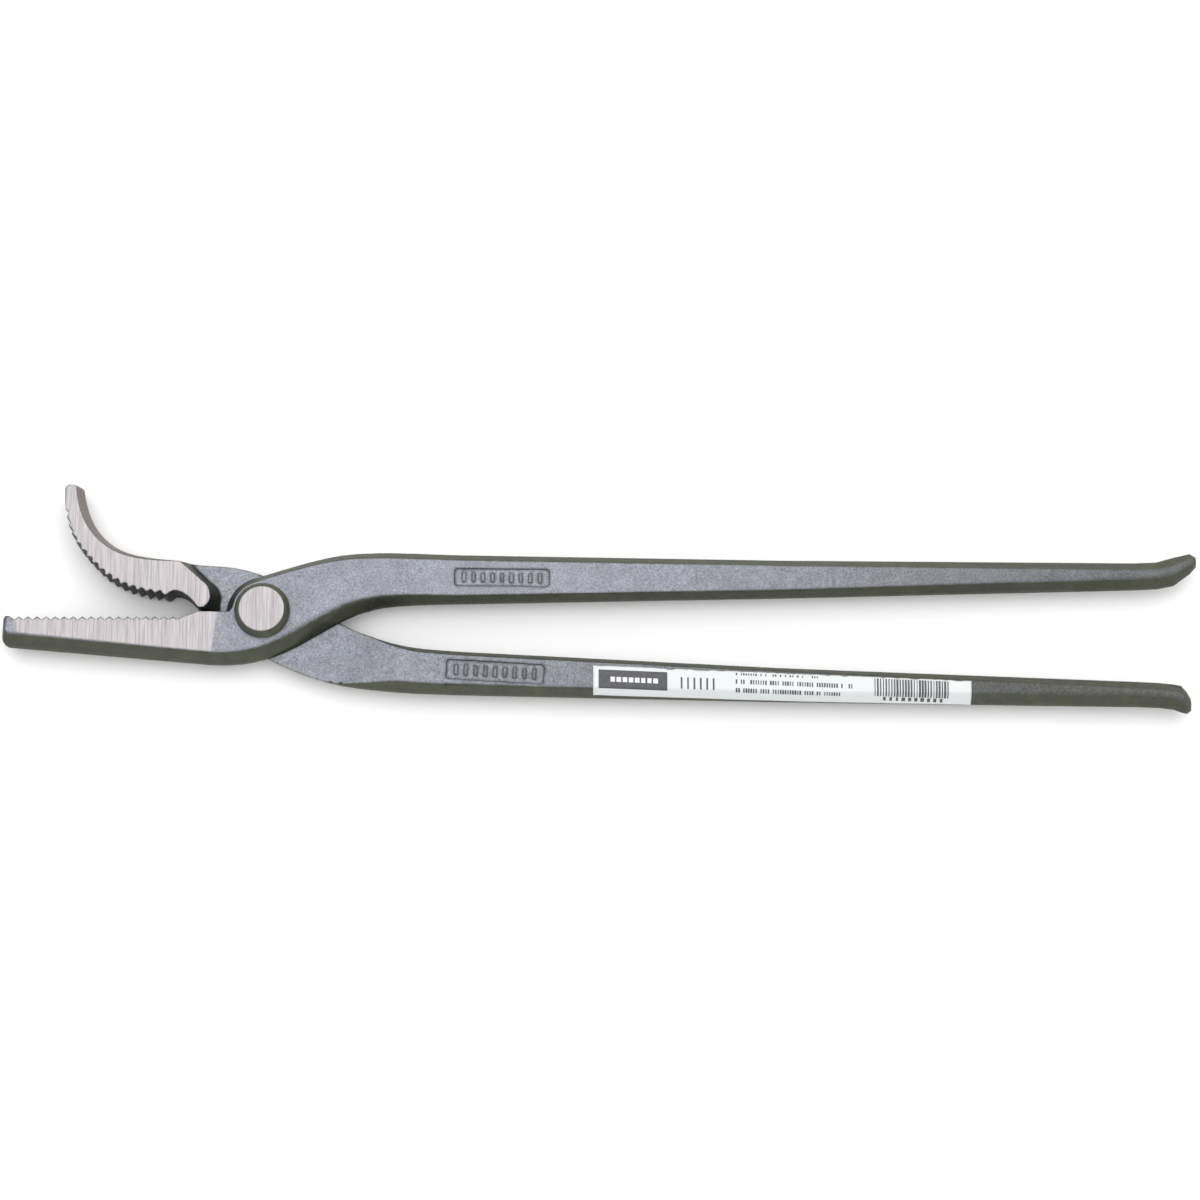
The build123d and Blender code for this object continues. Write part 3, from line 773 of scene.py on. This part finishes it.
def rivet_profile():
    """Radius and height of the rivet's outline, from the middle of its tail to the middle of its head."""
    low, high = RIVET_LOW.z, RIVET_HIGH.z
    base = RIVET_HIGH.x
    top = base - 1.30 * MM
    tail = base - 1.45 * MM
    shank = base - 3.10 * MM
    seat_low = BACK - 0.04 * MM
    seat_high = FACE + 0.04 * MM
    corners = [(0, low), (tail - 0.45 * MM, low), (tail - 0.12 * MM, low + 0.1 * MM),
               (tail, low + 0.35 * MM), (tail, seat_low), (shank, seat_low), (shank, seat_high),
               (base - 0.15 * MM, seat_high),
               (base, seat_high + 0.2 * MM), (base, seat_high + 0.6 * MM),
               (base - 0.06 * MM, seat_high + 1.05 * MM), (base - 0.2 * MM, seat_high + 1.5 * MM),
               (base - 0.46 * MM, seat_high + 1.95 * MM), (base - 0.84 * MM, seat_high + 2.4 * MM),
               (top + 0.06 * MM, high - 0.12 * MM), (top - 0.06 * MM, high), (0, high)]
    outline = [corners[0]]
    for one, two in zip(corners, corners[1:]):
        steps = max(1, math.ceil(math.dist(one, two) / RIVET_STEP))
        for index in range(1, steps + 1):
            share = index / steps
            outline.append((one[0] + (two[0] - one[0]) * share, one[1] + (two[1] - one[1]) * share))
    return outline


def turned_mesh(name, outline):
    """Closed turned shape round the upright axis, with one vertex at each pole."""
    turns = np.arange(RIVET_SEGMENTS) * 2 * math.pi / RIVET_SEGMENTS
    middle = outline[1:-1]
    vertices = [(r * math.cos(t), r * math.sin(t), z) for r, z in middle for t in turns]
    first, last = len(vertices), len(vertices) + 1
    vertices += [(0, 0, outline[0][1]), (0, 0, outline[-1][1])]
    faces = []
    for ring in range(len(middle) - 1):
        for spoke in range(RIVET_SEGMENTS):
            after = (spoke + 1) % RIVET_SEGMENTS
            one, two = ring * RIVET_SEGMENTS, (ring + 1) * RIVET_SEGMENTS
            faces.append((one + spoke, one + after, two + after, two + spoke))
    top = (len(middle) - 1) * RIVET_SEGMENTS
    for spoke in range(RIVET_SEGMENTS):
        after = (spoke + 1) % RIVET_SEGMENTS
        faces.append((first, after, spoke))
        faces.append((last, top + spoke, top + after))
    mesh = bpy.data.meshes.new(name)
    mesh.from_pydata(vertices, [], faces)
    mesh.validate()
    return faced_outward(mesh)


def finish_rivet():
    """Replaces the rivet with a turned one: pitted crown, bright ground top and a dressed tail."""
    settings = bpy.context.scene.clincher_steel
    name = "rivet_ground_head"
    obj = link(bpy.data.objects.new(name, turned_mesh(name, rivet_profile())))
    points = points_of(obj.data)
    crown = (points[:, 2] > FACE + 0.1 * MM) & (points[:, 2] < RIVET_HIGH.z - 0.06 * MM)
    set_group(obj, "forged", crown * 0.6)
    material = steel_material(f"{name}_steel", settings, settings.seed + 20, 0.5, 1.0)
    apply_tree(obj, forged_skin_tree(), {"Pit size": settings.pit_size * 0.9,
                                         "Pit depth": settings.pit_depth,
                                         "Seed": float(settings.seed + 20), "Material": material})
    plain_mesh(obj)
    obj.vertex_groups.clear()
    if not obj.data.materials:
        obj.data.materials.append(material)
    mesh = obj.data
    points = points_of(mesh)
    reach = np.hypot(points[:, 0], points[:, 1])
    flat = (np.abs(normals_of(mesh)[:, 2]) > 0.7) & (reach < RIVET_HIGH.x - 1.28 * MM)
    ends = (points[:, 2] > RIVET_HIGH.z - 0.1 * MM) | (points[:, 2] < RIVET_LOW.z + 0.1 * MM)
    steel_attributes(mesh, (flat & ends).astype(float))
    # Painted shade: the rivet's crown, between the boss face and the ground top, takes the flanks' dark
    # olive.
    high = (points[:, 2] > FACE) & (points[:, 2] < RIVET_HIGH.z - 0.1 * MM)
    store(mesh, "flank", np.where(high, 1.0, 0.0))
    shade_smooth(mesh)
    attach(obj, "straight_arm")
    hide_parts("pivot_rivet")
    return obj


# ---------------------------------------------------------------- label

STATION_STEP = 1.0 * MM          # the handle is measured at this spacing under the label
TOP_LEFT_Y = -14.0 * MM          # upper edge of the label at its two ends
TOP_RIGHT_Y = -18.0 * MM
LOW_LEFT_Z = 1.75 * MM           # lower edge above the parting line at its two ends
LOW_RIGHT_Z = 0.45 * MM
LABEL_ROWS = 34
LABEL_COLUMN = 0.4 * MM
SOILED_RIM = 0.35 * MM           # the paper's edges are soiled this far in
RAY_REACH = 40 * MM
CURL = 0.10 * MM                 # the label's ends stand this far off the handle
CURL_REACH = 1.6 * MM
INK_CLEARANCE = 0.045 * MM       # between the paper's mean height and the print
BEND_SPACING = 0.25              # millimetres between the bends of a printed bar


def handle_profiles(walls):
    """Profile of the handle under the label at each station, as distance along it and points."""
    stations = np.linspace(LABEL_LOW.x, LABEL_HIGH.x, int((LABEL_HIGH.x - LABEL_LOW.x) / STATION_STEP) + 1)
    profiles = []
    for x in stations:
        share = (x - LABEL_LOW.x) / (LABEL_HIGH.x - LABEL_LOW.x)
        top = TOP_LEFT_Y + (TOP_RIGHT_Y - TOP_LEFT_Y) * share
        lowest = LAP + LOW_LEFT_Z + (LOW_RIGHT_Z - LOW_LEFT_Z) * share
        centre = Vector((x, top - 3.2 * MM, LAP - 0.8 * MM))
        hits = []
        for degrees in np.arange(-58.0, 100.0, 1.0):
            turn = math.radians(degrees)
            out = Vector((0, -math.sin(turn), math.cos(turn)))
            hit = walls.ray_cast(centre + out * RAY_REACH, -out)[0]
            if hit is not None:
                hits.append(hit)
        line = np.array(hits)
        far = np.concatenate([[0], np.cumsum(np.linalg.norm(np.diff(line, axis=0), axis=1))])
        start = np.interp(-top, -line[:, 1], far)
        end = np.interp(-lowest, -line[:, 2], far)
        profiles.append((far - start, line, end - start))
    return stations, profiles


class LabelSurface:
    """The handle's skin under the label, by distance along the handle and down from the upper edge."""

    def __init__(self):
        self.stations, self.profiles = handle_profiles(cad_walls("curved_jaw_arm"))

    def at_station(self, index, down):
        far, line, _ = self.profiles[index]
        return np.array([np.interp(down, far, line[:, axis]) for axis in range(3)])

    def height(self, x):
        """Distance from the upper edge to the lower one at a place along the handle."""
        return float(np.interp(x, self.stations, [p[2] for p in self.profiles]))

    def point(self, x, down, off):
        """Point on the skin, raised off it along its normal."""
        where = float(np.clip((x - self.stations[0]) / (self.stations[1] - self.stations[0]), 0,
                              len(self.stations) - 1.001))
        index = int(where)
        share = where - index
        place = self.at_station(index, down) * (1 - share) + self.at_station(index + 1, down) * share
        step = 0.25 * MM
        one = self.at_station(index, down - step)
        two = self.at_station(index, down + step)
        out = np.array([0.0, -(two[2] - one[2]), two[1] - one[1]])
        out /= -max(np.linalg.norm(out), MIN_NORMAL)
        return place + out * off


def curl(ends):
    """How far the label stands off the handle at a distance from its nearer end."""
    return CURL * max(0.0, 1 - ends / CURL_REACH) ** 2


def paper_mesh(surface, settings):
    """Label paper as a closed sheet: outer and inner skin with rims, torn a little along the top."""
    columns = int((LABEL_HIGH.x - LABEL_LOW.x) / LABEL_COLUMN) + 1
    vertices, rim = [], []
    for layer in (settings.gap + settings.thickness, settings.gap):
        for column in range(columns):
            x = LABEL_LOW.x + (LABEL_HIGH.x - LABEL_LOW.x) * column / (columns - 1)
            torn = noise.noise(Vector((x / (2.3 * MM), 0.5, settings.seed)))
            torn = max(0.0, torn) * settings.ragged * 2.2
            nick = noise.noise(Vector((x / (0.8 * MM), 7.5, settings.seed))) - 0.3
            nick = max(0.0, nick) * settings.ragged * 3
            deep = surface.height(x) + 0.1 * MM * noise.noise(Vector((x / (9 * MM), 3.5, settings.seed)))
            for row in range(LABEL_ROWS):
                share = row / (LABEL_ROWS - 1)
                down = (torn + nick) * (1 - share) ** 6 + deep * share
                ends = min(column, columns - 1 - column) * LABEL_COLUMN
                bulge = 0.012 * MM * (1 + noise.noise(Vector((x / (5 * MM), share * 3, settings.seed))))
                vertices.append(surface.point(x, down, layer + curl(ends) + bulge))
                edge = min(ends, share * deep, (1 - share) * deep)
                rim.append(max(0.0, 1 - edge / SOILED_RIM) ** 1.5)
    size = columns * LABEL_ROWS
    faces = []
    for column in range(columns - 1):
        for row in range(LABEL_ROWS - 1):
            corner = column * LABEL_ROWS + row
            ring = (corner, corner + 1, corner + LABEL_ROWS + 1, corner + LABEL_ROWS)
            faces.append(ring)
            faces.append(tuple(size + index for index in reversed(ring)))
    border = [column * LABEL_ROWS for column in range(columns)]
    border += [(columns - 1) * LABEL_ROWS + row for row in range(1, LABEL_ROWS)]
    border += [column * LABEL_ROWS + LABEL_ROWS - 1 for column in range(columns - 2, -1, -1)]
    border += [row for row in range(LABEL_ROWS - 2, 0, -1)]
    for one, two in zip(border, border[1:] + border[:1]):
        faces.append((one, two, size + two, size + one))
    mesh = bpy.data.meshes.new("paper_label")
    mesh.from_pydata([tuple(v) for v in vertices], [], faces)
    faced_outward(mesh)
    store(mesh, "rim", np.array(rim))
    shade_smooth(mesh)
    return mesh


def print_rows():
    """Lines of plain print: start, distance down, count, pitch, least and greatest bar, height, gaps
    and ink. Each distance is in millimetres from the label's left end or its upper edge."""
    return [
        (1.4, 1.0, 1, 17.4, 17.4, 17.4, 4.7, 0.0, "ink"),          # dark block
        (4.2, 2.75, 8, 1.55, 0.95, 1.25, 1.25, 0.0, "paper"),      # pale bars across it
        (21.6, 2.1, 6, 1.62, 0.34, 0.46, 2.9, 0.0, "ink"),         # upright marks
        (36.0, 0.45, 34, 0.62, 0.22, 0.44, 0.55, 0.3, "ink"),      # fine print, cut by the upper edge
        (36.0, 2.1, 48, 0.62, 0.24, 0.46, 1.1, 0.14, "ink"),       # fine print
        (36.0, 4.3, 43, 0.62, 0.24, 0.46, 1.1, 0.14, "ink"),
        (71.0, 0.35, 27, 0.71, 0.16, 0.56, 4.6, 0.0, "ink"),       # row of upright bars
        (73.0, 5.15, 10, 1.6, 0.5, 0.95, 1.3, 0.0, "ink"),         # small marks below it
    ]


def finish_label():
    """Replaces the label with paper that follows the handle, and lays its print on it."""
    settings = bpy.context.scene.clincher_label
    surface = LabelSurface()
    paper = link(bpy.data.objects.new("paper_label", paper_mesh(surface, settings)))
    paper.data.materials.append(paper_material(settings))
    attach(paper, "curved_arm")
    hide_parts("label")

    inks = {"ink": ink_material("label_ink", tuple(settings.ink_colour), settings.seed + 3),
            "paper": ink_material("label_reverse", tuple(settings.paper_colour), settings.seed + 4)}
    tree = print_row_tree()
    vertices, faces, kinds = [], [], []
    for number, (start, down, count, pitch, least, most, height, gaps, ink) in enumerate(print_rows()):
        row = link(bpy.data.objects.new(f"row_{number}", bpy.data.meshes.new(f"row_{number}")))
        apply_tree(row, tree, {"Count": count, "Pitch": pitch * MM, "Least width": least * MM,
                               "Greatest width": most * MM, "Bar height": height * MM,
                               "Ink height": settings.ink_height, "Gap share": gaps,
                               "Bends": 2 + int(height / BEND_SPACING),
                               "Seed": settings.seed + number, "Material": inks[ink]})
        plain_mesh(row)
        base = len(vertices)
        lifted = settings.gap + settings.thickness + INK_CLEARANCE
        lifted += settings.ink_height * (1.5 if ink == "paper" else 0.5)
        for flat in points_of(row.data):
            x = LABEL_LOW.x + start * MM + flat[0]
            below = (down + height / 2) * MM - flat[1]
            ends = min(x - LABEL_LOW.x, LABEL_HIGH.x - x)
            vertices.append(tuple(surface.point(x, below, lifted + curl(ends) + flat[2])))
        for side in row.data.polygons:
            faces.append(tuple(base + index for index in side.vertices))
            kinds.append(0 if ink == "ink" else 1)
        mesh = row.data
        bpy.data.objects.remove(row)
        bpy.data.meshes.remove(mesh)
    mesh = bpy.data.meshes.new("label_print")
    mesh.from_pydata(vertices, [], faces)
    mesh.materials.append(inks["ink"])
    mesh.materials.append(inks["paper"])
    mesh.polygons.foreach_set("material_index", kinds)
    faced_outward(mesh).update()
    ink = link(bpy.data.objects.new("label_print", mesh))
    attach(ink, "curved_arm")


# ---------------------------------------------------------------- stage

TOOL_MIDDLE = (0.08576, 0.00373)          # where the camera looks
LIGHT_PLACE = (0.05, 0.55, 1.25)
LIGHT_WIDTH = 2.2


def make_floor(settings):
    """Pale floor that the tool rests on."""
    half = settings.floor_size / 2
    cells = 8
    mesh = bpy.data.meshes.new("studio_floor")
    step = settings.floor_size / cells
    corners = [(-half + i * step, -half + j * step, 0) for j in range(cells + 1) for i in range(cells + 1)]
    faces = []
    for j in range(cells):
        for i in range(cells):
            one = j * (cells + 1) + i
            faces.append((one, one + 1, one + cells + 2, one + cells + 1))
    mesh.from_pydata(corners, [], faces)
    mesh.materials.append(floor_material(settings))
    link(bpy.data.objects.new("studio_floor", mesh))


def soft_light(name, place, target, width, power):
    """Large square soft light, aimed at the tool."""
    lamp = bpy.data.lights.new(name, "AREA")
    lamp.shape = "SQUARE"
    lamp.size = width
    lamp.energy = power
    obj = link(bpy.data.objects.new(name, lamp))
    obj.location = place
    obj.rotation_mode = "QUATERNION"
    obj.rotation_quaternion = (target - Vector(place)).to_track_quat("-Z", "Y")


def make_stage():
    """Floor, sky, lights and camera."""
    scene = bpy.context.scene
    settings = scene.clincher_stage
    make_floor(settings)
    world = bpy.data.worlds.new("studio_sky")
    world.use_nodes = True
    sky = world.node_tree.nodes["Background"]
    sky.inputs["Color"].default_value = (1.0, 1.0, 1.0, 1)
    sky.inputs["Strength"].default_value = settings.sky
    scene.world = world
    middle = Vector((*TOOL_MIDDLE, LAP))
    soft_light("overhead_light", LIGHT_PLACE, middle, LIGHT_WIDTH, settings.key_power)
    camera = bpy.data.cameras.new("studio_camera")
    camera.sensor_width = 36.0
    camera.lens = settings.camera_lens
    camera.clip_start, camera.clip_end = 0.01, 50.0
    obj = link(bpy.data.objects.new("studio_camera", camera))
    tilt = settings.camera_tilt
    obj.location = middle + settings.camera_distance * Vector((0, -math.sin(tilt), math.cos(tilt)))
    obj.rotation_euler = (tilt, 0, 0)
    scene.camera = obj
    scene.view_settings.view_transform = "Standard"


# ---------------------------------------------------------------- operators and panel

class CLINCHER_OT_straight_arm(bpy.types.Operator):
    """Finish the straight jaw arm and its upper handle as forged and ground steel"""

    bl_idname = "clincher.straight_arm"
    bl_label = "Straight jaw arm"

    def execute(self, context):
        seed = context.scene.clincher_steel.seed
        finish_forging("straight_jaw_arm", "straight_jaw_forging", "straight_arm",
                       (straight_crisp, straight_ground, straight_shaded_sides, None), STRAIGHT_PANEL,
                       STRAIGHT_FADE, seed)
        return {"FINISHED"}


class CLINCHER_OT_curved_arm(bpy.types.Operator):
    """Finish the curved jaw arm and its lower handle as forged and ground steel"""

    bl_idname = "clincher.curved_arm"
    bl_label = "Curved jaw arm"

    def execute(self, context):
        seed = context.scene.clincher_steel.seed + 7
        finish_forging("curved_jaw_arm", "curved_jaw_forging", "curved_arm",
                       (curved_crisp, curved_ground, curved_shaded_sides, curved_bare), CURVED_PANEL,
                       CURVED_FADE, seed)
        return {"FINISHED"}


class CLINCHER_OT_rivet(bpy.types.Operator):
    """Finish the rivet with its ground top, pitted crown and dressed tail"""

    bl_idname = "clincher.rivet"
    bl_label = "Rivet"

    def execute(self, context):
        finish_rivet()
        return {"FINISHED"}


class CLINCHER_OT_label(bpy.types.Operator):
    """Stick the paper label on the lower handle, with its plain print"""

    bl_idname = "clincher.label"
    bl_label = "Label and print"

    def execute(self, context):
        finish_label()
        return {"FINISHED"}


class CLINCHER_OT_stage(bpy.types.Operator):
    """Set up the floor, the light and the camera"""

    bl_idname = "clincher.stage"
    bl_label = "Stage"

    def execute(self, context):
        make_stage()
        return {"FINISHED"}


class CLINCHER_PT_panel(bpy.types.Panel):
    """Settings and steps of the clincher"""

    bl_idname = "CLINCHER_PT_panel"
    bl_label = "Hoof-nail clincher"
    bl_space_type = "VIEW_3D"
    bl_region_type = "UI"
    bl_category = "Clincher"

    def draw(self, context):
        scene = context.scene
        groups = (("Steel", scene.clincher_steel), ("Label", scene.clincher_label),
                  ("Stage", scene.clincher_stage))
        for title, settings in groups:
            box = self.layout.box()
            box.label(text=title)
            for name in settings.__annotations__:
                box.prop(settings, name)
        for step in STEPS:
            self.layout.operator(step.bl_idname)


STEPS = (CLINCHER_OT_straight_arm, CLINCHER_OT_curved_arm, CLINCHER_OT_rivet, CLINCHER_OT_label,
         CLINCHER_OT_stage)
SETTINGS = {"clincher_steel": SteelSettings, "clincher_label": LabelSettings,
            "clincher_stage": StageSettings}


def register():
    """Registers the settings, the operators and the panel."""
    for name, group in SETTINGS.items():
        bpy.utils.register_class(group)
        setattr(bpy.types.Scene, name, PointerProperty(type=group))
    for step in (*STEPS, CLINCHER_PT_panel):
        bpy.utils.register_class(step)


def unregister():
    """Takes them away again."""
    for step in reversed((*STEPS, CLINCHER_PT_panel)):
        bpy.utils.unregister_class(step)
    for name, group in SETTINGS.items():
        delattr(bpy.types.Scene, name)
        bpy.utils.unregister_class(group)


def main():
    """Builds every piece and the stage."""
    register()
    bpy.ops.clincher.straight_arm()
    bpy.ops.clincher.curved_arm()
    bpy.ops.clincher.rivet()
    bpy.ops.clincher.label()
    bpy.ops.clincher.stage()


if __name__ == "__main__":
    main()
